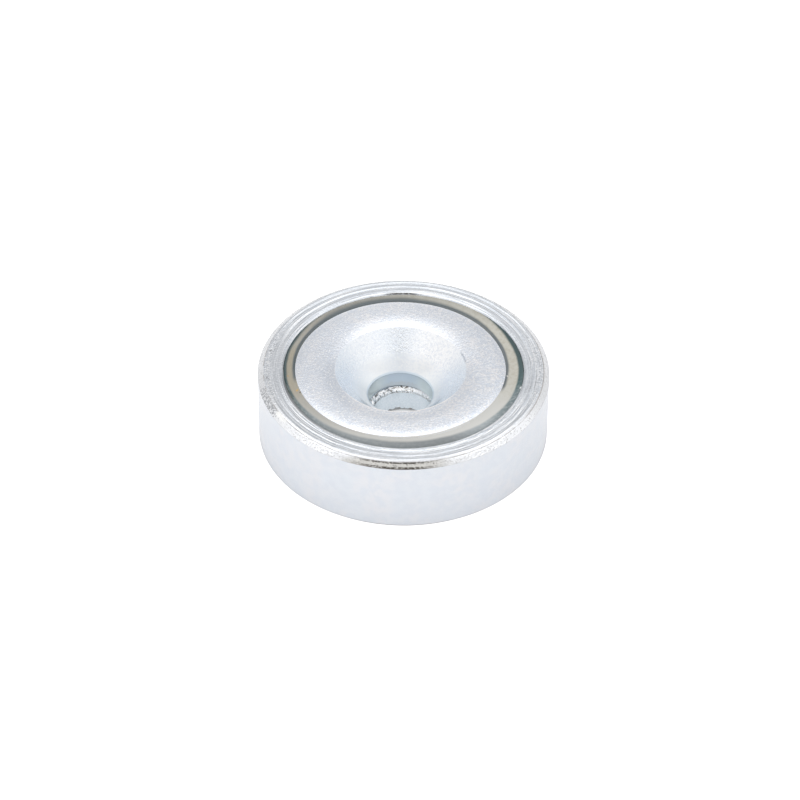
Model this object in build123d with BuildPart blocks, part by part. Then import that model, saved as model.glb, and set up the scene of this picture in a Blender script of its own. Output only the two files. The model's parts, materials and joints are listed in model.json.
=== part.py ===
from build123d import *
from math import radians, sqrt, tan
import os

# Countersunk pot magnet. Millimetres, +Z up. The pot stands on its back with its axis on Z and the
# origin in the middle of the back face. The face that pulls, the rim and the magnet, looks upwards.

# Steel pot, one turned and plated piece
pot_diameter = 25.0
pot_height = 7.0
pot_wall = 2.25
pot_floor = 2.5
rim_chamfer_width = 0.5
rim_chamfer_height = 0.37
cavity_chamfer = 0.15
foot_chamfer = 0.28

# The screw that fixes it, and the hole for its shank through the pot's floor
screw_diameter = 5.0
screw_hole_clearance = 0.15
screw_hole_top_chamfer = 0.3
screw_hole_back_chamfer = 0.25

# Ring magnet, plated. Its face is level with the pot's rim, and tumbling rolled both edges over
resin_gap = 1.25
magnet_bore_clearance = 0.28
countersink_diameter = 11.26
countersink_angle = 90.0
bore_roll_width = 1.27
bore_roll_drop = 0.15
edge_roll_width = 0.85
edge_roll_drop = 0.3
largest_roll_share = 0.45
magnet_foot_chamfer = 0.22

# The magnet is bonded in a little off the pot's axis
magnet_shift_x = -0.27
magnet_shift_y = 0.2

# Resin cast in the gap around the magnet. It wets both walls and its top is a hollow meniscus
resin_set_back = 0.15
meniscus_depth = 0.25
meniscus_steps = 4

# Sizes that follow from those above
pot_radius = pot_diameter / 2
cavity_radius = pot_radius - pot_wall
screw_hole_radius = screw_diameter / 2 + screw_hole_clearance
magnet_radius = cavity_radius - resin_gap
magnet_bore_radius = screw_diameter / 2 + magnet_bore_clearance
countersink_radius = countersink_diameter / 2
largest_roll = (magnet_radius - countersink_radius) * largest_roll_share
face_inner_radius = countersink_radius + min(bore_roll_width, largest_roll)
face_outer_radius = magnet_radius - min(edge_roll_width, largest_roll)
countersink_mouth_z = pot_height - bore_roll_drop
countersink_depth = (countersink_radius - magnet_bore_radius) / tan(radians(countersink_angle / 2))
magnet_centre = Vector(magnet_shift_x, magnet_shift_y)
resin_top_z = pot_height - resin_set_back
roll_height_share = max(0, 1 - resin_set_back / edge_roll_drop)
wetted_radius = face_outer_radius + (magnet_radius - face_outer_radius) * sqrt(1 - roll_height_share**2)
middle_radius = (cavity_radius + wetted_radius) / 2
middle_centre = magnet_centre / 2
magnet_axis = Axis((magnet_shift_x, magnet_shift_y, 0), (0, 0, 1))
magnet_section_plane = Plane((magnet_shift_x, magnet_shift_y, 0), x_dir=(1, 0, 0), z_dir=(0, -1, 0))

os.makedirs("parts", exist_ok=True)

# Pot: its section runs from the screw hole along the back, up the side and back in over the rim
with BuildPart() as steel_pot:
    with BuildSketch(Plane.XZ):
        with BuildLine():
            Polyline(
                (screw_hole_radius + screw_hole_back_chamfer, 0),
                (pot_radius - foot_chamfer, 0),
                (pot_radius, foot_chamfer),
                (pot_radius, pot_height - rim_chamfer_height),
                (pot_radius - rim_chamfer_width, pot_height),
                (cavity_radius + cavity_chamfer, pot_height),
                (cavity_radius, pot_height - cavity_chamfer),
                (cavity_radius, pot_floor),
                (screw_hole_radius + screw_hole_top_chamfer, pot_floor),
                (screw_hole_radius, pot_floor - screw_hole_top_chamfer),
                (screw_hole_radius, screw_hole_back_chamfer),
                close=True,
            )
        make_face()
    revolve(axis=Axis.Z)

# Magnet: its section runs up the countersink and the bore, round the foot, up the side and over
# both rolled edges of the face
with BuildPart() as ring_magnet:
    with BuildSketch(magnet_section_plane):
        with BuildLine():
            Polyline(
                (countersink_radius, countersink_mouth_z),
                (magnet_bore_radius, countersink_mouth_z - countersink_depth),
                (magnet_bore_radius, pot_floor + magnet_foot_chamfer),
                (magnet_bore_radius + magnet_foot_chamfer, pot_floor),
                (magnet_radius - magnet_foot_chamfer, pot_floor),
                (magnet_radius, pot_floor + magnet_foot_chamfer),
                (magnet_radius, pot_height - edge_roll_drop),
            )
            EllipticalCenterArc(
                (face_outer_radius, pot_height - edge_roll_drop),
                magnet_radius - face_outer_radius,
                edge_roll_drop,
            )
            Line((face_outer_radius, pot_height), (face_inner_radius, pot_height))
            TangentArc(
                (face_inner_radius, pot_height),
                (countersink_radius, countersink_mouth_z),
                tangent=(-1, 0),
            )
        make_face()
    revolve(axis=magnet_axis)


# Meniscus: the hollow over the resin, as wide everywhere as the uneven gap. It is the space inside
# the slope that climbs to the pot's wall, less the space inside the slope that climbs to the magnet
with BuildPart() as meniscus:
    for wall_radius, wall_centre, mode in (
        (cavity_radius, Vector(0, 0), Mode.ADD),
        (wetted_radius, magnet_centre, Mode.SUBTRACT),
    ):
        for step in range(meniscus_steps + 1):
            climb = step / meniscus_steps
            with BuildSketch(Plane.XY.offset(resin_top_z - meniscus_depth * (1 - climb**2))):
                with Locations(middle_centre + (wall_centre - middle_centre) * climb):
                    Circle(middle_radius + (wall_radius - middle_radius) * climb)
        loft(mode=mode)

# Resin: fills the gap from the pot's floor up to the meniscus, against the pot and the magnet
with BuildPart() as resin_ring:
    with BuildSketch(Plane.XY.offset(pot_floor)):
        Circle(cavity_radius)
        with Locations(magnet_centre):
            Circle(face_outer_radius, mode=Mode.SUBTRACT)
    extrude(amount=resin_top_z - pot_floor)
    add(ring_magnet.part, mode=Mode.SUBTRACT)
    add(meniscus.part, mode=Mode.SUBTRACT)

steel_pot.part.label = "steel_pot"
ring_magnet.part.label = "ring_magnet"
resin_ring.part.label = "resin_ring"

export_step(steel_pot.part, "parts/steel_pot.step")
export_step(ring_magnet.part, "parts/ring_magnet.step")
export_step(resin_ring.part, "parts/resin_ring.step")
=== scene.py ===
import json
from math import cos, pi, radians, sin, sqrt, tan
from types import SimpleNamespace

import bpy
import numpy as np
from mathutils import Matrix, Vector


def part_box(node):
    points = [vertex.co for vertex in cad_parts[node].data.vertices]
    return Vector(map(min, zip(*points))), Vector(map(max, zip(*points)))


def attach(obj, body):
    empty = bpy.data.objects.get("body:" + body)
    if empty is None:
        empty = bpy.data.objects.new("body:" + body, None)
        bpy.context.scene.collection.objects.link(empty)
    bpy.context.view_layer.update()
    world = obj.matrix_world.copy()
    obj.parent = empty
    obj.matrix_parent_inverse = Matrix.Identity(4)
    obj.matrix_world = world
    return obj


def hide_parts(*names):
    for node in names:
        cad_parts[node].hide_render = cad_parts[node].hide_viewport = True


# Countersunk pot magnet. Lengths are in millimetres until a mesh is made, and metres after that.
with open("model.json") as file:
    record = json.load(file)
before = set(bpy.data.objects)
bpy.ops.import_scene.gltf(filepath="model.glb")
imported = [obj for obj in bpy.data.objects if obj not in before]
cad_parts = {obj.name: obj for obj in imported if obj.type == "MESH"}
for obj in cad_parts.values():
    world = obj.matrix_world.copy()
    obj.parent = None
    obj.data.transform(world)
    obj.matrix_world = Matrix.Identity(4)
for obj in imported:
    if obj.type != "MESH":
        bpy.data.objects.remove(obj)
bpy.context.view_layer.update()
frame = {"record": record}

MM = 0.001
SEGMENTS = 720


def in_mm(metres):
    """A length of the frame in millimetres, to the micrometre."""
    return round(metres / MM, 3)


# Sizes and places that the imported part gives
mounts = {mount["name"]: mount for mount in frame["record"]["mounts"]}
POT_RADIUS = in_mm(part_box("steel_pot")[1][0])
POT_HEIGHT = in_mm(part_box("steel_pot")[1][2])
CAVITY_RADIUS = in_mm(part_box("resin_ring")[1][0])
RESIN_Z = in_mm(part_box("resin_ring")[1][2])
FLOOR_Z = in_mm(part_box("ring_magnet")[0][2])
HOLE_RADIUS = mounts["screw_hole"]["dims"]["r_mm"]
BORE_RADIUS = mounts["magnet_bore"]["dims"]["r_mm"]
MAGNET_CENTRE = tuple(in_mm(place) for place in mounts["magnet_bore"]["pos_m"][:2])

# Steel pot: what parts the worn lip from the turned passes, the outer edge of the rim's flat, and the
# edge of the torn ledge in the hole
LIP_RADIUS = 10.56
RIM_RADIUS = 11.99
LEDGE_RADIUS = 3.05

# Ring magnet: outer edge and countersink
EDGE_RADIUS = 9.05
CONE_RADIUS = 5.63

# Cast resin: how deep the hollow of its top is
MENISCUS_DEPTH = 0.25

WHITE = (0.99, 0.99, 0.99)


# ---------------------------------------------------------------- camera
def photo_camera():
    """The photograph's camera, which sees the target, in the middle of the rim, at target_px."""
    pitch, roll = radians(40.647), radians(0.52)
    distance, focal_px, size_px = 318.5, 3721.0, 800.0
    target, target_px = Vector((0, 0, 7.015)), (403.151, 368.089)
    middle_px = (size_px - 1) / 2
    forward = Vector((0, cos(pitch), -sin(pitch)))
    level_right, level_up = Vector((1, 0, 0)), Vector((0, sin(pitch), cos(pitch)))
    right = level_right * cos(roll) + level_up * sin(roll)
    up = level_up * cos(roll) - level_right * sin(roll)
    across, down = ((pixel - middle_px) / focal_px for pixel in target_px)
    ray = forward + right * across - up * down
    place = target - ray.normalized() * distance
    data = bpy.data.cameras.new("photo_camera")
    data.sensor_width = 36.0
    data.lens = focal_px / size_px * data.sensor_width
    data.clip_start, data.clip_end = 0.01, 10.0
    camera = bpy.data.objects.new("photo_camera", data)
    bpy.context.scene.collection.objects.link(camera)
    turn = Matrix((right, up, -forward)).transposed()
    camera.matrix_world = Matrix.Translation(place * MM) @ turn.to_4x4()
    bpy.context.scene.camera = camera


# ---------------------------------------------------------------- node helper
class Nodes:
    """A node tree with short calls, which take sockets and plain values alike."""

    def __init__(self, tree):
        self.tree = tree
        tree.nodes.clear()

    def put(self, socket, value):
        if isinstance(value, bpy.types.NodeSocket):
            self.tree.links.new(value, socket)
        else:
            socket.default_value = value

    def add(self, kind, inputs=None, **settings):
        node = self.tree.nodes.new(kind)
        for key, value in settings.items():
            setattr(node, key, value)
        for key, value in (inputs or {}).items():
            self.put(node.inputs[key], value)
        return node

    def math(self, operation, a, b=0.0, c=0.0):
        return self.add("ShaderNodeMath", {0: a, 1: b, 2: c}, operation=operation).outputs[0]

    def product(self, value, *factors):
        for factor in factors:
            value = self.math("MULTIPLY", value, factor)
        return value

    def largest(self, a, b):
        return self.math("MAXIMUM", a, b)

    def apart(self, value, middle):
        """Distance of value from middle."""
        return self.math("ABSOLUTE", self.math("SUBTRACT", value, middle))

    def shifted(self, value, noise, amount):
        """Value moved up or down by a noise of 0 to 1, over a range of amount."""
        return self.math("MULTIPLY_ADD", self.math("SUBTRACT", noise, 0.5), amount, value)

    def band(self, value, low, high, to_low=0.0, to_high=1.0):
        """Smooth step of value from low to high, which falls where high is under low."""
        node = self.add(
            "ShaderNodeMapRange",
            {"Value": value, "From Min": low, "From Max": high, "To Min": to_low, "To Max": to_high},
            interpolation_type="SMOOTHSTEP",
        )
        return node.outputs["Result"]

    def window(self, value, low, full_from, full_to, high):
        """1 from full_from to full_to, and smoothly down to 0 at low and at high."""
        return self.product(self.band(value, low, full_from), self.band(value, high, full_to))

    def noise(self, vector, scale, detail=2.0, roughness=0.5, distortion=0.0):
        inputs = {"Vector": vector, "Scale": scale, "Detail": detail}
        inputs.update({"Roughness": roughness, "Distortion": distortion})
        return self.add("ShaderNodeTexNoise", inputs).outputs["Fac"]

    def ramp(self, value, stops, interpolation="LINEAR"):
        """Colour ramp through stops of (place from 0 to 1, colour)."""
        node = self.add("ShaderNodeValToRGB", {"Fac": value})
        ramp = node.color_ramp
        ramp.interpolation = interpolation
        while len(ramp.elements) < len(stops):
            ramp.elements.new(0.5)
        for element, (place, colour) in zip(ramp.elements, stops):
            element.position = place
            element.color = (*colour, 1.0)
        return node.outputs["Color"]

    def around(self, turn, stops, low, high):
        """Value from low to high that follows stops of (degrees, value) round the axis."""
        places = [(0.5 + degrees / 360, ((value - low) / (high - low),) * 3) for degrees, value in stops]
        share = self.ramp(self.math("MULTIPLY_ADD", turn, 0.5 / pi, 0.5), places, "CARDINAL")
        return self.math("MULTIPLY_ADD", share, high - low, low)

    def mix(self, amount, a, b):
        """Colour a with an amount of colour b."""
        node = self.add("ShaderNodeMix", data_type="RGBA")
        self.put(node.inputs[0], amount)
        for socket, colour in ((node.inputs[6], a), (node.inputs[7], b)):
            self.put(socket, (*colour, 1.0) if isinstance(colour, tuple) else colour)
        return node.outputs[2]

    def over(self, colour, *layers):
        """Colour with layers of (amount, colour) laid over it in turn."""
        for amount, layer in layers:
            colour = self.mix(amount, colour, layer)
        return colour

    def scaled(self, vector, factor):
        """A vector or a colour times a number."""
        return self.add("ShaderNodeVectorMath", {0: vector, "Scale": factor}, operation="SCALE").outputs[0]

    def place(self):
        """Object position in millimetres: vector, x, y, z."""
        where = self.scaled(self.add("ShaderNodeTexCoord").outputs["Object"], 1 / MM)
        x, y, z = self.add("ShaderNodeSeparateXYZ", {0: where}).outputs
        return where, x, y, z

    def radius(self, x, y, centre=(0.0, 0.0)):
        dx = self.math("SUBTRACT", x, centre[0])
        dy = self.math("SUBTRACT", y, centre[1])
        return self.math("SQRT", self.math("ADD", self.product(dx, dx), self.product(dy, dy)))

    def vector(self, x, y, z):
        return self.add("ShaderNodeCombineXYZ", {0: x, 1: y, 2: z}).outputs[0]

    def bump(self, height, depth, normal=None):
        """Bump whose height of 0 to 1 is depth millimetres deep, on top of another normal."""
        inputs = {"Height": height, "Strength": 1.0, "Distance": depth * MM}
        if normal is not None:
            inputs["Normal"] = normal
        return self.add("ShaderNodeBump", inputs).outputs[0]

    def surface(self, inputs):
        shader = self.add("ShaderNodeBsdfPrincipled", inputs)
        self.add("ShaderNodeOutputMaterial", {"Surface": shader.outputs[0]})


# ---------------------------------------------------------------- studio
def studio():
    """Soft light from every direction, and plain white where the camera looks past the object."""
    scene = bpy.context.scene
    scene.view_settings.view_transform = "Standard"
    scene.view_settings.look = "None"
    world = bpy.data.worlds.new("studio")
    scene.world = world
    world.use_nodes = True
    n = Nodes(world.node_tree)
    direction = n.add("ShaderNodeTexCoord").outputs["Generated"]
    x, y, z = n.add("ShaderNodeSeparateXYZ", {0: direction}).outputs
    elevation = n.product(n.math("ARCSINE", z), 180 / pi)
    height = n.math("MULTIPLY_ADD", elevation, 1 / 180, 0.5)
    brightest = 2.0

    def sky(*levels):
        """Grey that follows (degrees above the horizon, level)."""
        return n.ramp(height, [(0.5 + degrees / 180, (level / brightest,) * 3) for degrees, level in levels])

    # a wall behind the object that turns into the overhead light, softboxes at both sides, and the
    # side where the camera stands
    behind = sky(
        (-90, 1.0), (0, 1.0), (10, 0.94), (20, 0.82), (28, 0.75), (35, 0.67), (40, 0.67), (43, 0.80),
        (47, 1.02), (51, 1.28), (57, 1.44), (66, 1.56), (73, 1.50), (80, 0.95), (90, 0.66),
    )
    beside = sky(
        (-90, 1.0), (0, 1.0), (12, 0.95), (22, 0.98), (32, 1.10), (42, 0.82), (55, 1.25), (68, 1.60),
        (74, 1.50), (80, 0.95), (90, 0.66),
    )
    near = sky(
        (-90, 1.0), (0, 1.0), (30, 0.95), (45, 1.0), (52, 1.06), (62, 1.10), (73, 1.28), (80, 0.95),
        (90, 0.66),
    )
    across = n.largest(n.math("SQRT", n.math("SUBTRACT", 1.0, n.product(z, z))), 0.02)
    sideways = n.math("DIVIDE", n.math("ABSOLUTE", x), across)
    forwards = n.math("DIVIDE", y, across)
    # the dark camera above its pale stand
    camera = n.mix(n.band(elevation, 25.0, 35.0), (0.36, 0.355, 0.35), (0.02, 0.018, 0.016))
    camera_side = n.product(n.band(sideways, 0.34, 0.16), n.band(forwards, 0.0, -0.3))
    light = n.over(
        behind,
        (n.band(sideways, 0.35, 0.85), beside),
        (n.band(forwards, -0.15, -0.7), near),
        (n.product(camera_side, n.window(elevation, 4.0, 14.0, 40.0, 44.0)), camera),
    )
    lit = n.add("ShaderNodeBackground", {"Color": light, "Strength": brightest})
    seen = n.add("ShaderNodeBackground", {"Color": (1, 1, 1, 1), "Strength": 1.1})
    by_camera = n.add("ShaderNodeLightPath").outputs["Is Camera Ray"]
    both = n.add("ShaderNodeMixShader", {0: by_camera, 1: lit.outputs[0], 2: seen.outputs[0]})
    n.add("ShaderNodeOutputWorld", {"Surface": both.outputs[0]})


def floor():
    """Sheet of paper, cut away under the pot so that its back can be seen, with a disc under its hole."""
    count = 96
    disc_radius, cut_radius, sheet_radius = 2.9, 12.16, 300.0
    angles = [2 * pi * i / count for i in range(count)]
    radii = [radius * MM for radius in (disc_radius, cut_radius, sheet_radius)]
    verts = [(radius * cos(angle), radius * sin(angle), 0) for radius in radii for angle in angles]
    faces = [tuple(range(count))]
    for i in range(count):
        j = (i + 1) % count
        faces.append((count + i, 2 * count + i, 2 * count + j, count + j))
    mesh = bpy.data.meshes.new("floor")
    mesh.from_pydata(verts, [], faces)
    mesh.materials.append(paper("pale_floor"))
    piece = bpy.data.objects.new("floor", mesh)
    bpy.context.scene.collection.objects.link(piece)


def paper(name):
    """Pale paper that glows under the hole and round the pot, overexposed where the camera sees it beside the
    pot, and clear from below.
    """
    material, n = new_material(name)
    where, x, y, z = n.place()
    r = n.radius(x, y)
    # the disc under the hole glows, more at the back, and its glow fades out towards the disc's edge, which
    # paints a ring of shadow there; the open floor round the pot glows a little, more at the left
    hole_glow = n.product(n.band(y, -0.3, 1.2, 0.19, 0.36), n.band(r, 2.95, 2.70))
    open_floor = n.product(n.band(x, -14.0, 14.0, 0.25, 0.215), n.band(r, 11.8, 13.2))
    beside_pot = n.product(n.band(r, 16.0, 12.6), n.band(r, 9.0, 12.0, 0.0, 0.8))
    beside_pot = n.math("ADD", beside_pot, n.band(r, 9.0, 12.0, 0.0, 0.2))
    by_camera = n.add("ShaderNodeLightPath").outputs["Is Camera Ray"]
    level = n.math("MULTIPLY_ADD", by_camera, beside_pot, n.math("ADD", hole_glow, open_floor))
    glow = n.add("ShaderNodeEmission", {"Color": (1, 1, 1, 1), "Strength": level})
    sheet = n.add("ShaderNodeBsdfDiffuse", {"Color": (0.80, 0.80, 0.80, 1)})
    both = n.add("ShaderNodeAddShader", {0: sheet.outputs[0], 1: glow.outputs[0]})
    clear = n.add("ShaderNodeBsdfTransparent")
    below = n.add("ShaderNodeNewGeometry").outputs["Backfacing"]
    one_sided = n.add("ShaderNodeMixShader", {0: below, 1: both.outputs[0], 2: clear.outputs[0]})
    n.add("ShaderNodeOutputMaterial", {"Surface": one_sided.outputs[0]})
    return material


# ---------------------------------------------------------------- sections
def rounded(corners, turn_step=9.0, hold=0.03):
    """Closed outline in (r, z) from corners (r, z, radius). A corner with radius 0 is a point of a curve."""
    count = len(corners)
    outline = []
    for i, (r, z, radius) in enumerate(corners):
        here = np.array((r, z), float)
        if radius <= 0:
            outline.append(here)
            continue
        back = np.array(corners[i - 1][:2], float) - here
        on = np.array(corners[(i + 1) % count][:2], float) - here
        back_length, on_length = np.linalg.norm(back), np.linalg.norm(on)
        back, on = back / back_length, on / on_length
        inside = np.arccos(np.clip(back @ on, -1, 1))
        turn = pi - inside
        reach = min(radius * tan(turn / 2), 0.45 * back_length, 0.45 * on_length)
        radius = reach / tan(turn / 2)
        middle = here + (back + on) / np.linalg.norm(back + on) * (radius / sin(inside / 2))
        from_middle = here + back * reach - middle
        to_middle = here + on * reach - middle
        if back_length > 2.5 * (reach + hold):
            outline.append(here + back * (reach + hold))
        steps = max(2, int(np.ceil(np.degrees(turn) / turn_step)))
        for k in range(steps + 1):
            t = k / steps
            spoke = (sin((1 - t) * turn) * from_middle + sin(t * turn) * to_middle) / sin(turn)
            outline.append(middle + spoke)
        if on_length > 2.5 * (reach + hold):
            outline.append(here + on * (reach + hold))
    return np.array(outline)


def line(r0, z0, r1, z1, steps):
    """Points between two corners, without either."""
    return [(r0 + (r1 - r0) * k / steps, z0 + (z1 - z0) * k / steps, 0.0) for k in range(1, steps)]


def heights(tilts, radii):
    """Height along radii of a profile whose slope follows tilts of (radius, degrees), from 0 at the first.

    A positive slope falls outwards.
    """
    tilt = np.interp(radii, [radius for radius, _ in tilts], [degrees for _, degrees in tilts])
    slope = -np.tan(np.radians(tilt))
    return np.concatenate([[0], np.cumsum((slope[1:] + slope[:-1]) / 2 * np.diff(radii))])


def lathe(name, outline, centre=(0.0, 0.0), shape=None):
    """A closed ring from a closed outline in (r, z), whose points shape(r, z, angle) moves."""
    count = len(outline)
    angle = np.arange(SEGMENTS) * 2 * pi / SEGMENTS
    r = np.repeat(outline[:, 0][:, None], SEGMENTS, 1)
    z = np.repeat(outline[:, 1][:, None], SEGMENTS, 1)
    if shape is not None:
        r, z = shape(r, z, angle[None, :])
    x = centre[0] + r * np.cos(angle)
    y = centre[1] + r * np.sin(angle)
    verts = np.stack([x, y, z], -1).reshape(-1, 3) * MM
    row, next_row = np.arange(count)[:, None], (np.arange(count)[:, None] + 1) % count
    column, next_column = np.arange(SEGMENTS)[None, :], (np.arange(SEGMENTS)[None, :] + 1) % SEGMENTS
    corners = ((row, column), (row, next_column), (next_row, next_column), (next_row, column))
    quads = np.stack([a * SEGMENTS + b for a, b in corners], -1).reshape(-1, 4)
    area = np.sum(outline[:, 0] * np.roll(outline[:, 1], -1) - np.roll(outline[:, 0], -1) * outline[:, 1])
    if area < 0:
        quads = quads[:, ::-1]
    mesh = bpy.data.meshes.new(name)
    mesh.vertices.add(len(verts))
    mesh.vertices.foreach_set("co", verts.ravel())
    mesh.loops.add(quads.size)
    mesh.loops.foreach_set("vertex_index", quads.ravel().astype(np.int32))
    mesh.polygons.add(len(quads))
    mesh.polygons.foreach_set("loop_start", np.arange(0, quads.size, 4, dtype=np.int32))
    mesh.polygons.foreach_set("use_smooth", np.ones(len(quads), bool))
    mesh.update(calc_edges=True)
    mesh.validate()
    piece = bpy.data.objects.new(name, mesh)
    bpy.context.scene.collection.objects.link(piece)
    return piece


# ---------------------------------------------------------------- unevenness round the axis
def waves(angle, seed, first, last, falloff=0.5):
    """Smooth periodic noise, about -1 to 1, from waves that go first to last times round."""
    random = np.random.RandomState(seed)
    total = np.zeros_like(angle)
    weight = 0.0
    for k in range(first, last + 1):
        size = 1.0 / (1.0 + k - first) ** falloff
        total = total + size * np.sin(k * angle + random.uniform(0, 2 * pi))
        weight += size * size
    return total / sqrt(weight * 2)


def field(angle, along, seed, low, high, steep, count=28):
    """Smooth random field, about -1 to 1, on angle round the axis and millimetres along the outline."""
    random = np.random.RandomState(seed)
    total = 0.0
    for _ in range(count):
        k = random.randint(low, high + 1)
        total = total + np.sin(k * angle + random.uniform(-steep, steep) * along + random.uniform(0, 2 * pi))
    return total / sqrt(count / 2)


def facets(seed, width, radius):
    """Broken line round the axis, -1 to 1, with random corners about width long at that radius."""
    random = np.random.RandomState(seed)
    count = max(6, int(2 * pi * radius / width))
    corners = (np.arange(count) + random.uniform(-0.4, 0.4, count)) * SEGMENTS / count
    levels = random.uniform(-1, 1, count)
    corners = np.concatenate([corners - SEGMENTS, corners, corners + SEGMENTS])
    return np.interp(np.arange(SEGMENTS), corners, np.tile(levels, 3))


def share(value):
    """Value held between 0 and 1."""
    return np.clip(value, 0, 1)


# ---------------------------------------------------------------- steel pot
# radius where a pass of the facing tool starts, outward slope after it and inward slope before the
# next one, in degrees
RIM_PASSES = ((10.63, 12.0, 13.0), (11.19, 9.0, 11.5), (11.74, 0.0, 0.0))
# radius and inward slope of the worn lip between the cavity's wall and the first pass
LIP_TILTS = (
    (10.25, -84.0),
    (10.26, -74.0),
    (10.27, -68.0),
    (10.29, -62.0),
    (10.315, -55.0),
    (10.33, -46.0),
    (10.345, -30.0),
    (10.365, -16.0),
    (10.40, -11.0),
    (10.50, -8.5),
    (10.57, -7.0),
    (10.63, -5.5),
)
# radii at which the lip has points, closer together where it curves more
LIP_POINTS = (
    10.25, 10.254, 10.262, 10.272, 10.285, 10.30, 10.315, 10.33, 10.345, 10.36,
    10.38, 10.42, 10.48, 10.54, 10.62, 10.63,
)


def scallop(r0, z0, r1, out, back):
    """One pass of the facing tool from one cusp to the next, as points without the last cusp.

    It leaves the first cusp falling outwards at out degrees and reaches the next one rising at back degrees.
    """
    width = r1 - r0
    edge = 0.006 / width
    places = [0, edge] + list(np.linspace(0, 1, 10)[1:-1]) + [1 - edge]
    first, last = tan(radians(out)), tan(radians(back))
    return [(r0 + width * t, z0 - width * (first * t - (first + last) * t * t / 2), 0.0) for t in places]


def rim_section():
    """The rim from the cavity's wall outwards: worn lip, hollow passes and the flat outermost pass."""
    passes = []
    height = 0.0
    for (r0, out, back), (r1, _, _) in zip(RIM_PASSES[:-1], RIM_PASSES[1:]):
        passes += scallop(r0, height, r1, out, back)
        height -= (r1 - r0) * (tan(radians(out)) - tan(radians(back))) / 2
    lift = POT_HEIGHT - height
    passes = [(r, z + lift, 0.0) for r, z, _ in passes]
    lip = heights(LIP_TILTS, np.array(LIP_POINTS))
    lip = [(r, float(z) + lift - lip[-1], 0.0) for r, z in zip(LIP_POINTS[:-1], lip)]
    # the flat pass is crowned by 1 degree each way
    flat_start, crown = RIM_PASSES[-1][0], ((0.0, 1.0), (1.0, -1.0))
    places = np.linspace(0, 1, 7)
    width = RIM_RADIUS - flat_start
    rise = width * heights(crown, places)
    flat = [(flat_start + width * t, POT_HEIGHT + float(z - rise[-1] * t), 0.0) for t, z in zip(places, rise)]
    return lip + passes + flat


def make_pot():
    rim = rim_section()
    edge_z = rim[0][1]
    chamfer_low, chamfer_high = (12.465, 6.65), (12.03, 6.975)
    corners = (
        [
            (HOLE_RADIUS + 0.25, 0.0, 0.03),
            (POT_RADIUS - 0.28, 0.0, 0.06),
            (POT_RADIUS, 0.28, 0.08),
            (POT_RADIUS, 6.2, 0.0),
            (POT_RADIUS, 6.50, 0.0),
            (POT_RADIUS, 6.56, 0.0),
            (POT_RADIUS, 6.60, 0.0),
            (12.488, 6.63, 0.0),
            (*chamfer_low, 0.0),
        ]
        + line(*chamfer_low, *chamfer_high, 6)
        + [(*chamfer_high, 0.0), (12.005, 6.992, 0.0)]
        + rim[::-1]
        + [
            (CAVITY_RADIUS, edge_z - 0.06, 0.0),
            (CAVITY_RADIUS, edge_z - 0.15, 0.0),
            (CAVITY_RADIUS, FLOOR_Z, 0.05),
            (LEDGE_RADIUS + 0.05, FLOOR_Z, 0.0),
            (LEDGE_RADIUS, FLOOR_Z, 0.0),
        ]
        + line(LEDGE_RADIUS, FLOOR_Z, HOLE_RADIUS + 0.01, 2.19, 5)
        + [
            (HOLE_RADIUS + 0.01, 2.19, 0.0),
            (HOLE_RADIUS, 2.12, 0.0),
            (HOLE_RADIUS, 2.04, 0.0),
            (HOLE_RADIUS, 1.95, 0.0),
            (HOLE_RADIUS, 0.25, 0.03),
        ]
    )
    return lathe("turned_pot", rounded(corners), shape=pot_shape)


def pot_shape(r, z, angle):
    r, z = wander(r, z, angle)
    z = lean(r, z, angle)
    r, z = raise_lip(r, z, angle)
    chip_chamfer(r, z)
    tear_ledge(r, z, angle)
    return np.minimum(r, POT_RADIUS), np.minimum(z, POT_HEIGHT)


def wander(r, z, angle):
    """The facing passes wander a little, vary in depth and are cut a little off the axis."""
    face = (r > LIP_RADIUS) & (r < RIM_RADIUS) & (z > POT_HEIGHT - 0.1)
    deeper = 1.0 + 0.13 * field(angle, 4.0 * r, seed=11, low=1, high=9, steep=1.0)
    z = np.where(face, np.minimum(POT_HEIGHT, POT_HEIGHT - (POT_HEIGHT - z) * deeper), z)
    r = np.where(face, r + 0.012 * waves(angle, 12, 2, 9) + 0.003 * waves(angle, 13, 20, 60), r)
    off_axis = 0.11 * np.sin(angle) * share((r - 10.50) / 0.12) * share((RIM_RADIUS - r) / 0.25)
    return np.where(face, r + off_axis, r), z


def lean(r, z, angle):
    """The last pass leans outwards at the front, and the first ones inwards at the back."""
    last = share((r - 11.63) / 0.3)
    drop = 0.036 * last**1.2 * share(-np.sin(angle)) ** 0.6 + 0.007 * (1 - last) * share(np.sin(angle))
    face = (z > POT_HEIGHT - 0.3) & (r > CAVITY_RADIUS - 0.05) & (r < RIM_RADIUS + 0.11)
    return np.where(face, z - drop, z)


def raise_lip(r, z, angle):
    """The lip is less worn at the front: it stands higher and further in."""
    lip = (r > CAVITY_RADIUS) & (r < LIP_RADIUS) & (z > POT_HEIGHT - 0.3)
    fresh = share((r - CAVITY_RADIUS) / 0.05) * share((LIP_RADIUS - r) / 0.2) * share(-np.sin(angle)) ** 0.5
    return np.where(lip, r - 0.075 * fresh, r), np.where(lip, z + 0.028 * fresh, z)


def chip_chamfer(r, z):
    """Chips in the outer chamfer, smaller at its upper edge."""
    middle_radius = 12.3
    for row in range(r.shape[0]):
        r0, z0 = r[row, 0], z[row, 0]
        if r0 > RIM_RADIUS - 0.04 and z0 > 6.605:
            size = 0.016 if z0 < POT_HEIGHT - 0.005 else 0.008
            one = facets(100 + row, 0.22, middle_radius) + 0.6 * facets(200 + row, 0.11, middle_radius)
            two = facets(300 + row, 0.26, middle_radius)
            z[row] = z[row] - size * (1.3 + one)
            r[row] = r[row] - 0.6 * size * (1.0 + two)


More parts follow.
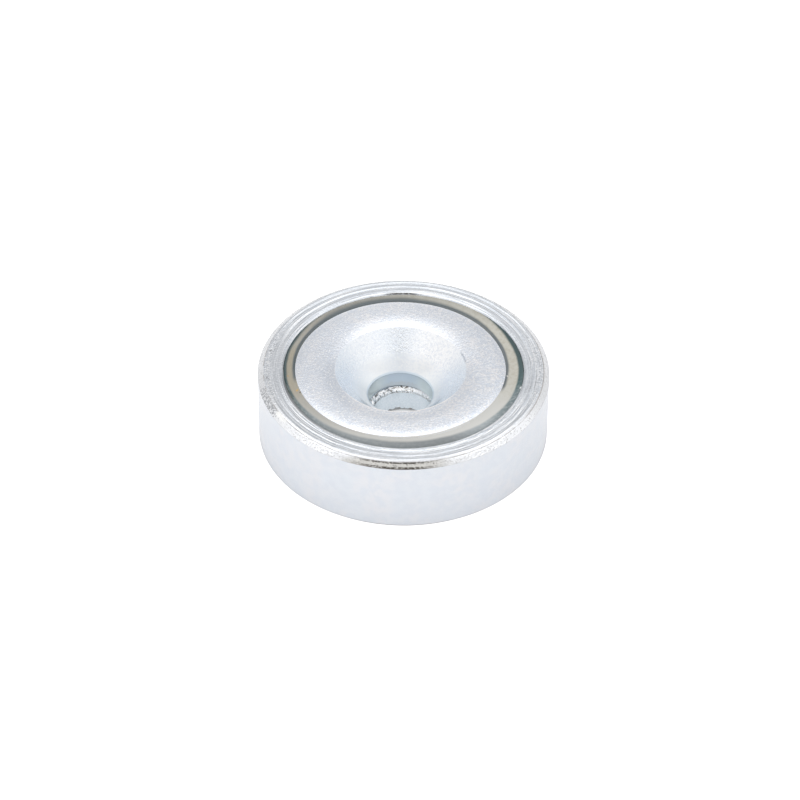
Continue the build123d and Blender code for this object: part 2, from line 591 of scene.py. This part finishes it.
def tear_ledge(r, z, angle):
    """Torn edge of the hole, where the drill broke through, with a burr at its left."""
    middle_radius = 2.8
    left = np.exp(-(((angle[0] - radians(168)) / radians(26)) ** 2))
    for row in range(r.shape[0]):
        r0, z0 = r[row, 0], z[row, 0]
        if r0 < LEDGE_RADIUS + 0.01 and 2.00 < z0 < 2.6:
            size = 1.0 if z0 > 2.15 else 0.35
            one = facets(400 + row, 0.26, middle_radius) + 0.5 * facets(500 + row, 0.12, middle_radius)
            two = facets(600 + row, 0.22, middle_radius)
            z[row] = np.minimum(z[row] + 0.045 * size * one * (1 + 0.7 * left) + 0.03 * left, FLOOR_Z + 0.01)
            r[row] = r[row] - 0.035 * size * two * (1 + 0.7 * left) - 0.015 * left


# ---------------------------------------------------------------- ring magnet
# radius and slope of the magnet's face, from the countersink outwards
FACE_TILTS = (
    (5.63, -12.0),
    (5.8, -10.5),
    (6.1, -8.5),
    (6.35, -5.6),
    (6.5, -4.4),
    (6.7, -3.1),
    (6.9, -2.0),
    (7.1, -0.9),
    (7.25, 0.2),
    (7.5, 0.9),
    (7.8, 1.1),
    (8.0, 1.2),
    (8.2, 1.9),
    (8.35, 3.2),
    (8.5, 5.3),
    (8.7, 8.5),
    (8.85, 10.5),
    (8.95, 14.0),
    (9.0, 25.0),
    (9.03, 48.0),
    (9.05, 75.0),
)


def face_section(step=0.045):
    """The magnet's pulling face from its outer edge inwards, in finer steps near the edge."""
    radii = [EDGE_RADIUS]
    while radii[-1] > CONE_RADIUS + 0.02:
        radii.append(radii[-1] - min(step, max(0.004, (EDGE_RADIUS - radii[-1]) * 0.35 + 0.002)))
    z = heights(FACE_TILTS, np.array(radii))
    z = z - z.max() + POT_HEIGHT
    return [(float(a), float(b), 0.0) for a, b in zip(radii, z)]


def magnet_shape(r, z, angle):
    """Tumbling took more off both edges of the face in some places than in others."""
    outer = share((r - 7.9) / 0.9) * (z > 6.0)
    inner = share((6.6 - r) / 0.8) * (z > 6.6)
    z = z - outer * 0.006 * (1 + waves(angle, 41, 2, 7)) - outer * 0.003 * (1 + waves(angle, 42, 9, 60))
    z = z - inner * 0.006 * (1 + waves(angle, 43, 2, 6))
    return r, np.minimum(z, POT_HEIGHT)


def make_magnet():
    face = face_section()
    mouth_radius, mouth_z = CONE_RADIUS - 0.03, face[-1][1] - 0.02
    cone_foot_z = 4.0
    corners = (
        face
        + [(mouth_radius, mouth_z, 0.0)]
        + line(mouth_radius, mouth_z, BORE_RADIUS, cone_foot_z, 12)
        + [
            (BORE_RADIUS, cone_foot_z, 0.03),
            (BORE_RADIUS, 2.59, 0.02),
            (2.87, FLOOR_Z, 0.02),
            (8.78, FLOOR_Z, 0.03),
            (EDGE_RADIUS, 2.72, 0.03),
        ]
    )
    return lathe("ground_magnet", rounded(corners), MAGNET_CENTRE, magnet_shape)


# ---------------------------------------------------------------- cast resin
# degrees round the axis and the radius on the magnet that the resin reaches: a little further at the front
WET_RADII = (
    (0, 9.03), (200, 9.03), (225, 9.01), (240, 8.98),
    (268, 8.90), (300, 8.88), (330, 8.96), (360, 9.03),
)
# how far over the magnet's edge the film of resin lies, as shares of its width, and its thickness
FILM_PLACES = (0.0, 0.08, 0.3, 0.55, 0.8)
FILM_THICKNESS = 0.005


def make_resin():
    """The ring between the magnet, which is off centre, and the pot's wall."""
    steps_across = 28
    angle = np.arange(SEGMENTS) * 2 * pi / SEGMENTS
    centre_x, centre_y = MAGNET_CENTRE
    along = centre_x * np.cos(angle) + centre_y * np.sin(angle)

    def from_axis(radius):
        """Distance from the pot's axis to a circle of this radius round the magnet's axis."""
        return along + np.sqrt(radius**2 - (centre_x**2 + centre_y**2) + along**2)

    face = face_section()[::-1]

    def on_magnet(radius, lift):
        height = np.interp(radius, [r for r, _, _ in face], [z for _, z, _ in face])
        return magnet_shape(radius[None, :], height[None, :], angle[None, :])[1][0] + lift

    wet = np.interp(np.degrees(angle), *zip(*WET_RADII))
    contact_radius = np.full(SEGMENTS, EDGE_RADIUS - 0.005)
    rows = []
    for t in FILM_PLACES:
        radius = wet + (contact_radius - wet) * t
        rows.append((from_axis(radius), on_magnet(radius, FILM_THICKNESS if t else -0.003)))
    inner, outer = from_axis(contact_radius), np.full(SEGMENTS, CAVITY_RADIUS)
    contact = on_magnet(contact_radius, FILM_THICKNESS)
    wall = RESIN_Z - 0.03 * share(np.sin(angle))
    for k in range(steps_across + 1):
        # share of the way from the magnet to the pot, in finer steps near both
        across = 0.5 - 0.5 * cos(pi * k / steps_across)
        level = contact + (wall - contact) * across
        hollow = MENISCUS_DEPTH * (1 - (2 * across - 1) ** 2)
        rows.append((inner + (outer - inner) * across, level - hollow))
    behind_edge = from_axis(EDGE_RADIUS - 0.03)
    rows.append((outer, np.full(SEGMENTS, FLOOR_Z)))
    rows.append((behind_edge, np.full(SEGMENTS, FLOOR_Z)))
    rows.append((behind_edge, np.full(SEGMENTS, 6.60)))
    r, z = (np.array(values) for values in zip(*rows))
    outline = np.stack([r[:, 0], z[:, 0]], 1)
    return lathe("cast_resin", outline, shape=lambda *_: (r, z))


# ---------------------------------------------------------------- materials
def new_material(name):
    material = bpy.data.materials.new(name)
    material.use_nodes = True
    return material, Nodes(material.node_tree)


def pot_places(n):
    """What the looks of the pot share: coordinates, zones and noises."""
    where, x, y, z = n.place()
    r = n.radius(x, y)
    turn = n.math("ARCTAN2", y, x)
    cosine, sine = n.math("COSINE", turn), n.math("SINE", turn)
    sideways = n.math("ABSOLUTE", cosine)

    def turned(across, along, detail, roughness):
        """Noise that runs round the axis."""
        swing = n.vector(n.product(r, across), n.product(cosine, along), n.product(sine, along))
        return n.noise(swing, 1.0, detail, roughness)

    sides = n.band(sideways, 0.85, 0.97)
    patches = n.noise(where, 0.9, detail=3.0)
    grit = n.noise(where, 6.5, detail=2.0, roughness=0.6)
    # patches half as tall as they are wide
    flattened = n.noise(n.vector(n.product(z, 2.0), x, y), 3.6, detail=4.0, roughness=0.7)
    # even grooves of the tool's feed, which come and go
    feed_pitch = 0.27
    drift = n.product(turned(1.6, 1.0, 1.0, 0.5), 9.0)
    feed = n.math("SINE", n.math("ADD", n.product(r, 2 * pi / feed_pitch), drift))
    strength = n.product(
        n.band(patches, 0.35, 0.62, 0.28, 0.6),
        n.math("SUBTRACT", 1.0, sides),
        n.band(sideways, 0.25, 0.65, 0.55, 1.0),
        n.band(sine, 0.3, 0.8, 1.0, 0.4),
    )
    ledge = n.product(n.band(r, 3.15, 3.0), n.window(z, 2.03, 2.11, 2.6, 2.8))
    return SimpleNamespace(
        where=where, x=x, y=y, z=z, r=r, turn=turn, sine=sine, sideways=sideways,
        ledge=ledge, patches=patches, grit=grit, flattened=flattened,
        rim=n.product(n.band(z, 6.72, 6.76), n.band(r, 12.06, 11.98)),
        chamfer=n.product(n.band(z, 6.52, 6.58), n.band(r, 11.97, 12.05)),
        hole=n.product(n.band(r, 3.0, 2.8), n.math("SUBTRACT", 1.0, ledge)),
        pitted=n.product(n.band(sides, 0.0, 1.0, 0.20, 0.80), n.band(r, 11.15, 11.5, 0.45, 1.0)),
        rings=turned(8.0, 0.9, 2.0, 0.6),
        scratches=turned(14.0, 3.0, 3.0, 0.7),
        feed=n.math("MULTIPLY_ADD", feed, strength, 0.5),
        fine=n.noise(where, 6.0, detail=3.0, roughness=0.6),
        chips=n.noise(where, 4.5, detail=4.0, roughness=0.65),
        streaks=n.product(n.math("ADD", flattened, grit), 0.5),
    )


def plain_zinc(n, p):
    """Colour of the side, the back and the wall of the hole."""
    broad = n.noise(p.where, 0.35, detail=2.0)
    cloud = n.noise(p.where, 1.3, detail=4.0, roughness=0.6)
    wall = n.mix(n.band(p.fine, 0.42, 0.58), (0.70, 0.765, 0.82), (0.765, 0.82, 0.87))
    # painted shade: the wall of the hole is darker and bluer at its left and right
    wall = n.mix(n.band(n.math("ABSOLUTE", p.x), 1.7, 2.6, 0.0, 0.55), wall, (0.56, 0.66, 0.73))
    colour = n.mix(n.band(broad, 0.35, 0.65), (0.765, 0.797, 0.845), (0.792, 0.803, 0.838))
    return n.over(colour, (n.band(cloud, 0.42, 0.60, 0.0, 0.7), (0.735, 0.768, 0.825)), (p.hole, wall))


def worn_rim(n, p):
    """Colour of the rim, with its turned lines, pits, dust and worn spots, painted shade on its lip and
    darker streaks at the back of the lip.
    """
    # painted shade on the lip: shaded at both sides and dark at the front left; the lip is also darker in
    # streaks at its back
    shaded = n.product(n.band(p.r, 10.50, 10.27), n.band(p.sideways, 0.92, 0.99, 0.0, 0.65))
    painted_lip_darkness = (
        (-180, 0.05), (-176, 0.15), (-168, 0.60), (-150, 0.58), (-135, 0.45), (-120, 0.25),
        (-100, 0.0), (180, 0.0),
    )
    painted_dark_lip = n.product(n.band(p.r, 10.50, 10.40), n.around(p.turn, painted_lip_darkness, 0.0, 1.0))
    darker_back_streaks = n.product(
        n.window(p.r, 10.27, 10.30, 10.37, 10.435),
        n.band(n.apart(p.x, -0.2), 2.1, 0.6),
        n.band(p.y, 9.0, 9.5),
        n.band(p.streaks, 0.36, 0.50, 0.45, 1.0),
    )
    # the plate is worn through in spots at the left, and the outermost pass is greyer at the back
    bare = n.product(n.window(p.r, 11.45, 11.6, 11.8, 11.95), n.band(p.x, -10.5, -11.2))
    outer = n.product(n.band(p.r, 11.56, 11.66), n.band(p.sine, 0.45, 0.85, 0.0, 0.65))
    return n.over(
        n.mix(n.band(p.rings, 0.60, 0.38), (0.825, 0.86, 0.905), (0.715, 0.755, 0.815)),
        (n.band(p.scratches, 0.46, 0.39, 0.0, 0.9), (0.52, 0.54, 0.57)),
        (n.band(p.scratches, 0.54, 0.60, 0.0, 0.8), (0.99, 0.99, 1.0)),
        (n.band(p.feed, 0.30, 0.02, 0.0, 0.8), (0.47, 0.50, 0.55)),
        (n.band(p.feed, 0.70, 0.98, 0.0, 0.8), (0.97, 0.97, 0.98)),
        # greyer at the far left, with pits and dust at both sides
        (n.band(p.x, -9.9, -10.6, 0.0, 0.4), (0.66, 0.68, 0.72)),
        (n.product(n.band(p.grit, 0.43, 0.36), p.pitted), (0.56, 0.58, 0.61)),
        (n.product(n.band(p.grit, 0.57, 0.64), p.pitted), WHITE),
        (n.product(n.band(p.chips, 0.41, 0.34), bare), (0.36, 0.36, 0.37)),
        (n.product(n.band(p.chips, 0.55, 0.62), bare), WHITE),
        (shaded, (0.34, 0.36, 0.38)),
        (painted_dark_lip, (0.05, 0.055, 0.06)),
        (darker_back_streaks, (0.09, 0.085, 0.08)),
        (outer, (0.66, 0.69, 0.73)),
    )


def chamfer_shine(n, p):
    """Bluish grey of the chamfer and the outermost pass, with painted light and shade: as bright as the angle
    round the axis says.
    """
    levels = (
        (-180, 0.78), (-166, 0.74), (-156, 0.82), (-147, 0.97), (-126, 1.0), (-114, 0.80), (-105, 0.74),
        (-90, 0.66), (-75, 0.73), (-62, 0.88), (-47, 0.98), (-33, 1.0), (-24, 0.88), (-14, 0.78),
        (0, 0.80), (180, 0.80),
    )
    level = n.around(p.turn, levels, 0.5, 1.1)
    return n.vector(n.product(level, 0.985), level, n.product(level, 1.035))


def worn_chamfer(n, p, colour):
    """Lays the chamfer over colour, with the dirty seam above it, a painted dark reflection and pits at its
    front, its burr with a painted highlight beside it, and the chamfer's painted shine on the outermost pass.
    """
    degrees = n.product(p.turn, 180 / pi)
    shine = chamfer_shine(n, p)
    # painted light and shade: the chamfer's shine laid over the outermost pass at the front
    outermost = n.product(p.rim, n.band(p.r, 11.68, 11.80), n.band(p.y, -2.0, -6.0, 0.0, 0.8))
    # thin dirty line where the rim ends, in patches, whole at the right and in dashes at the front
    patchy = n.largest(n.band(p.patches, 0.40, 0.60, 0.15, 0.85), n.band(p.x, 10.0, 11.3, 0.0, 0.85))
    dashes = n.product(n.band(p.streaks, 0.50, 0.56), n.band(p.y, -4.0, -7.0, 0.0, 0.9))
    seam = n.product(n.window(p.r, 11.94, 12.0, 12.03, 12.09), n.band(p.z, 6.90, 6.95))
    seam = n.product(seam, n.largest(patchy, dashes))
    # the front is painted beige-grey and darker, a painted dark reflection, with dark lines along both edges
    # and dark pits, and the rest only a little
    lines = n.product(
        n.largest(n.band(p.z, 6.85, 6.88), n.band(p.z, 6.73, 6.68)),
        n.band(n.apart(p.x, -0.6), 4.6, 1.4),
        n.band(p.streaks, 0.42, 0.50),
    )
    pits = n.largest(lines, n.band(p.chips, 0.46, 0.34, 0.0, 0.7))
    front_reflection_and_pits = n.mix(pits, (0.60, 0.59, 0.565), (0.08, 0.07, 0.06))
    front = n.largest(n.product(n.band(p.y, -11.0, -11.7), n.band(p.x, 5.0, 2.0)), 0.14)
    # grey burr at the left and, beside it, a bright spot of painted highlight
    burr = n.product(n.window(degrees, -170.0, -166.0, -153.0, -150.0), n.band(p.grit, 0.56, 0.44))
    bright = n.product(
        n.window(degrees, -153.0, -151.0, -147.0, -143.0),
        n.band(p.r, 11.85, 11.95),
        n.band(p.z, 6.72, 6.82),
        n.band(p.chips, 0.36, 0.48),
    )
    return n.over(
        colour,
        (outermost, shine),
        (p.chamfer, shine),
        (seam, (0.36, 0.335, 0.32)),
        (n.product(p.chamfer, front), front_reflection_and_pits),
        (n.product(p.chamfer, n.band(p.grit, 0.44, 0.38, 0.0, 0.45)), (0.45, 0.45, 0.45)),
        (n.product(p.chamfer, burr), (0.42, 0.43, 0.45)),
        (bright, (0.99, 0.99, 0.98)),
    )


def torn_ledge(n, p):
    """Colour of the torn edge of the hole: bright, with dark pits, greyer towards both ends, and a painted
    shadow of the magnet along its top.
    """
    dents = n.product(n.band(p.chips, 0.45, 0.39), n.band(p.x, 1.7, 0.4, 0.5, 1.0))
    # painted shadow under the magnet's edge along the top of the ledge
    top = n.product(n.band(p.z, 2.34, 2.42), n.band(p.chips, 0.52, 0.46), n.band(p.x, 1.2, 0.0))
    return n.over(
        WHITE,
        (n.band(p.patches, 0.58, 0.46, 0.0, 0.30), (0.66, 0.70, 0.74)),
        (dents, (0.20, 0.19, 0.17)),
        (top, (0.12, 0.10, 0.08)),
        (n.band(n.math("ABSOLUTE", p.x), 0.3, 1.3, 0.0, 0.3), (0.47, 0.50, 0.54)),
    )


def painted_foot_shadows(n, p, colour):
    """Lays painted shade over colour: a ragged shadow at the foot of the hole, and an even dark line of
    contact shadow where the side meets the back.
    """
    ragged = n.shifted(n.shifted(p.z, p.streaks, 1.0), n.noise(p.where, 1.9, detail=1.0), 0.7)
    foot = n.product(n.band(ragged, 0.34, 0.27), p.hole, n.band(p.flattened, 0.40, 0.60, 0.5, 1.0))
    # painted contact shadow where the side meets the back
    corner = n.product(n.band(p.z, 0.36, 0.28, 0.0, 0.6), n.band(p.r, 11.9, 12.1))
    return n.over(colour, (foot, (0.16, 0.14, 0.12)), (corner, (0.34, 0.30, 0.28)))


def zinc_normal(n, p):
    normal = n.bump(p.fine, 0.0015)
    for height, depth in (
        (n.product(p.rings, p.rim), 0.016),
        (n.product(p.scratches, p.rim), 0.012),
        (n.product(p.feed, p.rim), 0.011),
        (n.product(p.grit, p.rim, p.pitted), 0.020),
        (n.product(p.chips, n.math("MULTIPLY_ADD", p.rim, 0.5, p.chamfer)), 0.03),
        (n.product(p.chips, p.ledge), 0.05),
    ):
        normal = n.bump(height, depth, normal)
    return normal


def zinc(name):
    """Bright zinc plate over turned steel: rings on the rim, a chipped chamfer and a plain satin side."""
    material, n = new_material(name)
    p = pot_places(n)
    colour = n.mix(p.rim, plain_zinc(n, p), worn_rim(n, p))
    colour = worn_chamfer(n, p, colour)
    colour = n.mix(p.ledge, colour, torn_ledge(n, p))
    colour = painted_foot_shadows(n, p, colour)
    # the rim is the smoothest, then the chamfer
    rough = n.shifted(0.23, p.fine, 0.10)
    rough = n.math("MULTIPLY_ADD", p.rim, -0.11, rough)
    rough = n.math("MULTIPLY_ADD", p.chamfer, -0.05, rough)
    n.surface({"Base Color": colour, "Metallic": 1.0, "Roughness": rough, "Normal": zinc_normal(n, p)})
    return material


def magnet_places(n):
    """What the looks of the magnet share: coordinates, zones and noises."""
    where, x, y, z = n.place()
    r = n.radius(x, y, MAGNET_CENTRE)
    centre_x, centre_y = MAGNET_CENTRE
    return SimpleNamespace(
        x=x,
        y=y,
        z=z,
        r=r,
        turn=n.math("ARCTAN2", n.math("SUBTRACT", y, centre_y), n.math("SUBTRACT", x, centre_x)),
        cone=n.window(r, 2.82, 2.95, 5.55, 5.75),
        bore=n.band(r, 2.95, 2.80),
        patches=n.noise(where, 0.7, detail=3.0, roughness=0.55),
        mottle=n.noise(where, 1.6, detail=4.0, roughness=0.6),
        grain=n.noise(where, 4.2, detail=4.0, roughness=0.68),
        frost=n.noise(where, 7.0, detail=3.0, roughness=0.6, distortion=0.6),
    )


def face_and_cone(n, p):
    """Colour of the magnet's face, mottled at the right and with painted bluish shade at the left, and of its
    cone; both carry painted light and shade that follow the angle round the axis.
    """
    # painted light and shade on the cone: paler or bluer by the angle round the axis
    paleness = (
        (-180, 0.10), (-150, 0.26), (-90, 0.18), (-40, 0.10), (-10, 0.20), (15, 0.52), (40, 1.15),
        (60, 1.05), (90, 0.50), (130, 0.68), (155, 0.30), (180, 0.10),
    )
    cone = n.mix(n.around(p.turn, paleness, 0.0, 1.2), (0.70, 0.785, 0.870), (0.985, 0.988, 0.992))
    spots = n.product(n.band(p.mottle, 0.47, 0.60), n.band(p.x, 4.0, 6.0, 0.15, 0.75), n.band(p.r, 5.8, 6.2))
    # painted shade: the face is bluer and darker at its left, most near the countersink
    bluer = n.product(
        n.band(p.r, 7.8, 6.3, 0.35, 1.0), n.math("SUBTRACT", 1.0, p.cone), n.band(p.x, -3.0, -5.5, 0.0, 0.9)
    )
    grained = n.math("MULTIPLY_ADD", p.cone, -0.35, 0.9)
    # painted light: the cone is paler beside the bore, at the left most of all
    paler = n.largest(
        n.product(n.band(p.r, 4.5, 2.9, 0.0, 0.66), n.band(p.x, -1.0, -2.2)),
        n.product(n.band(p.r, 3.9, 3.0, 0.0, 0.55), n.band(p.x, 0.8, 1.8)),
    )
    # and painted shade, darker just behind the bore, as the face is just behind the countersink
    painted_shade_at_back = n.largest(
        n.product(p.cone, n.band(p.r, 4.3, 3.3, 0.0, 0.36)),
        n.product(n.band(p.r, 5.65, 5.80), n.band(p.r, 6.9, 6.4, 0.0, 0.22)),
    )
    colour = n.over(
        n.mix(n.band(p.patches, 0.35, 0.65), (0.822, 0.860, 0.925), (0.902, 0.902, 0.928)),
        (n.product(p.cone, 0.9), cone),
        (spots, (0.725, 0.782, 0.875)),
        (bluer, (0.695, 0.742, 0.82)),
        (n.product(n.band(p.grain, 0.57, 0.40), grained), (0.755, 0.80, 0.88)),
        (n.product(n.band(p.frost, 0.52, 0.64), grained), (0.995, 0.995, 0.995)),
        (n.product(p.cone, paler), (0.98, 1.0, 1.0)),
        (n.product(painted_shade_at_back, n.band(p.y, 2.0, 3.0)), (0.70, 0.71, 0.72)),
    )
    # painted light and shade: the face and cone are brighter or darker by the angle round the axis
    levels = (
        (-180, 0.94), (-150, 0.975), (-90, 0.975), (-60, 0.96), (-30, 0.955), (0, 0.95), (30, 0.955),
        (60, 0.985), (90, 1.035), (130, 1.02), (160, 0.965), (180, 0.94),
    )
    return n.scaled(colour, n.around(p.turn, levels, 0.8, 1.2))


def countersink_edge(n, p, colour):
    """Lays a small burr at the right of the countersink's edge over colour, and a painted highlight along its
    front.
    """
    burr = n.product(
        n.window(p.r, 5.55, 5.60, 5.70, 5.76),
        n.window(p.turn, 0.12, 0.22, 0.34, 0.46),
        n.band(p.grain, 0.38, 0.56, 0.3, 0.9),
    )
    # painted highlight along the front of the countersink's edge
    bright = n.product(n.window(p.r, 5.54, 5.60, 5.68, 5.76), n.band(p.y, -2.5, -4.0))
    return n.over(colour, (burr, (0.46, 0.50, 0.57)), (bright, (0.995, 0.975, 0.965)))


def bore_wall(n, p):
    """Colour of the bore: bluish in the middle and painted lighter towards its sides, with painted shade at
    its foot.
    """
    # painted light: paler towards the sides of the bore
    colour = n.mix(n.band(n.apart(p.x, MAGNET_CENTRE[0]), 0.8, 2.2), (0.74, 0.84, 0.94), (0.93, 1.0, 1.0))
    # painted shade at the foot of the bore
    foot = n.band(n.shifted(p.z, p.grain, 1.2), 3.25, 2.75, 0.0, 0.6)
    foot = n.product(foot, n.band(n.apart(p.x, -0.2), 1.9, 0.9))
    return n.mix(foot, colour, (0.70, 0.74, 0.76))


def nickel(name):
    """Plated sintered magnet: a pearly, finely grained face, a more deeply grained cone and a bluish bore."""
    material, n = new_material(name)
    p = magnet_places(n)
    colour = countersink_edge(n, p, face_and_cone(n, p))
    bore_top = n.product(n.band(p.r, 2.93, 2.86), n.band(p.z, 3.85, 3.95), 0.7)
    colour = n.over(colour, (p.bore, bore_wall(n, p)), (bore_top, (0.62, 0.70, 0.78)))
    # satin, and rougher in the bore and on the cone's foot, at its front most of all
    cone_foot = n.product(n.band(p.r, 4.4, 3.2), n.band(p.y, -0.5, 1.6, 2.0, 1.0))
    rougher = n.mix(p.bore, cone_foot, (0.6, 0.6, 0.6))
    rough = n.math("MULTIPLY_ADD", rougher, 0.25, n.shifted(0.23, p.grain, 0.12))
    # the grain is deepest on the cone, and faint at its foot and in the bore
    depth = n.math("MULTIPLY_ADD", p.cone, n.band(p.r, 3.2, 4.4, -0.35, 0.2), 0.6)
    depth = n.math("MULTIPLY_ADD", p.bore, -0.5, depth)
    normal = n.bump(n.product(p.grain, depth), 0.036)
    normal = n.bump(n.product(p.frost, depth), 0.014, normal)
    n.surface({"Base Color": colour, "Metallic": 1.0, "Roughness": rough, "Normal": normal})
    return material


def resin_places(n):
    """What the looks of the resin share: coordinates, noises and how far its front margin reaches."""
    where, x, y, z = n.place()
    fine = n.noise(where, 3.0, detail=4.0, roughness=0.65)
    right = n.product(n.band(x, 0.0, 4.0), n.band(n.shifted(y, fine, 1.5), -1.8, -2.7, 0.0, 0.5))
    return SimpleNamespace(
        x=x,
        y=y,
        turn=n.math("ARCTAN2", y, x),
        fine=fine,
        wobble=n.noise(where, 0.8, detail=3.0),
        front=n.largest(n.band(y, -1.5, -7.5), right),
    )


def resin_margin(n, p):
    """Colour of the margins, painted shade and dark reflection: darkest towards the pot and at the back,
    lighter at the front.
    """
    near = n.mix(p.front, (0.036, 0.092, 0.096), (0.285, 0.315, 0.33))
    far = n.mix(p.front, (0.017, 0.055, 0.060), (0.10, 0.13, 0.145))
    colour = n.mix(n.band(n.radius(p.x, p.y), 9.4, 10.25), near, far)
    cloudy = n.product(n.band(p.fine, 0.46, 0.62, 0.0, 0.28), n.band(p.y, 0.0, -3.0))
    # painted light and shade: the margins are brighter or darker by the angle round the axis
    levels = (
        (-180, 1.0), (-162, 1.05), (-150, 1.25), (-130, 1.0), (-105, 0.85), (-90, 0.76), (-65, 0.78),
        (-48, 1.30), (-30, 1.34), (-20, 1.36), (-8, 1.32), (4, 1.12), (14, 1.0), (180, 1.0),
    )
    return n.scaled(n.mix(cloudy, colour, (0.42, 0.44, 0.44)), n.around(p.turn, levels, 0.5, 1.5))


def resin_body(n, p):
    """Colour of the tan body: browner at the left, with painted shade at the back and painted light at the
    front.
    """
    brown = n.product(n.band(p.x, -7.5, -9.0), n.window(p.y, -4.0, -2.6, 2.2, 4.0))
    # painted light: the body is lighter at the front, by the angle round the axis
    lightness = (
        (-180, 0.0), (-165, 0.10), (-150, 0.28), (-120, 0.66), (-90, 0.90), (-60, 1.0), (-30, 0.95),
        (-5, 0.0), (180, 0.0),
    )
    return n.over(
        (0.565, 0.553, 0.492),
        (n.band(p.x, 3.0, -7.0), (0.41, 0.395, 0.355)),
        (brown, (0.39, 0.352, 0.275)),
        (n.band(p.fine, 0.40, 0.66, 0.0, 0.45), (0.40, 0.365, 0.28)),
        # painted shade at the back
        (n.band(p.y, 5.0, 9.5, 0.0, 0.35), (0.34, 0.335, 0.30)),
        (n.around(p.turn, lightness, 0.0, 1.2), (0.625, 0.62, 0.595)),
    )


def resin(name):
    """Cast resin: tan in its middle, with painted light and shade: dark margins of painted shade and
    reflection, a painted shadow next to the magnet, and a few flecks in it.
    """
    material, n = new_material(name)
    p = resin_places(n)
    # outer border of the tan body, by angle round the axis; beyond it lies the margins' painted shade
    border = (
        (-180, 9.99), (-165, 9.86), (-150, 9.60), (-120, 9.26), (-90, 9.06), (-60, 9.11), (-30, 9.48),
        (-15, 9.66), (0, 9.80), (30, 10.01), (60, 10.35), (120, 10.35), (150, 10.13), (165, 10.08),
        (180, 9.99),
    )
    wavy_radius = n.shifted(n.radius(p.x, p.y), p.wobble, 0.10)
    beyond = n.math("SUBTRACT", wavy_radius, n.around(p.turn, border, 8.8, 10.6))
    softness = n.math("MULTIPLY_ADD", p.front, 0.04, 0.14)
    outside = n.band(n.math("DIVIDE", beyond, softness), -0.5, 1.0)
    # painted shadow next to the magnet: a dark inner border, a circle that lies further back than the
    # magnet's edge
    border_centre, border_radius = (-0.28, 0.665), 9.30
    inner_radius = n.shifted(n.radius(p.x, p.y, border_centre), p.wobble, 0.10)
    inside = n.math("SUBTRACT", inner_radius, border_radius)
    front_end = n.math("ADD", n.math("SINE", p.turn), n.band(p.x, -5.0, 5.0, 0.0, 0.13))
    inside = n.band(inside, n.band(p.y, 5.0, 8.0, 0.10, 0.26), -0.12)
    inside = n.product(inside, n.band(front_end, -0.21, -0.08))
    colour = n.over(resin_body(n, p), (outside, resin_margin(n, p)), (inside, (0.095, 0.118, 0.13)))
    # dust and chips caught in the resin, and two pale spots of painted highlight, the last two
    for centre, size, tint in (
        ((-9.05, -2.60), 0.16, (0.60, 0.40, 0.16)),
        ((-8.78, -2.98), 0.10, (0.10, 0.08, 0.06)),
        ((-9.90, -0.64), 0.12, (0.42, 0.30, 0.16)),
        ((8.87, -0.55), 0.09, (0.80, 0.78, 0.72)),
        ((10.02, -2.15), 0.18, (0.80, 0.83, 0.84)),
    ):
        colour = n.mix(n.band(n.radius(p.x, p.y, centre), size, 0.4 * size), colour, tint)
    n.surface(
        {"Base Color": colour, "Metallic": 0.0, "Roughness": 0.25, "Coat Weight": 0.4, "Coat Roughness": 0.08}
    )
    return material


photo_camera()
studio()
floor()

for piece, material, node, slot in (
    (make_pot(), zinc("zinc_plate"), "steel_pot", "plated_steel"),
    (make_magnet(), nickel("magnet_plate"), "ring_magnet", "plated_magnet"),
    (make_resin(), resin("cast_resin"), "resin_ring", "resin"),
):
    piece.data.materials.append(material)
    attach(piece, "root")
    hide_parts(node)
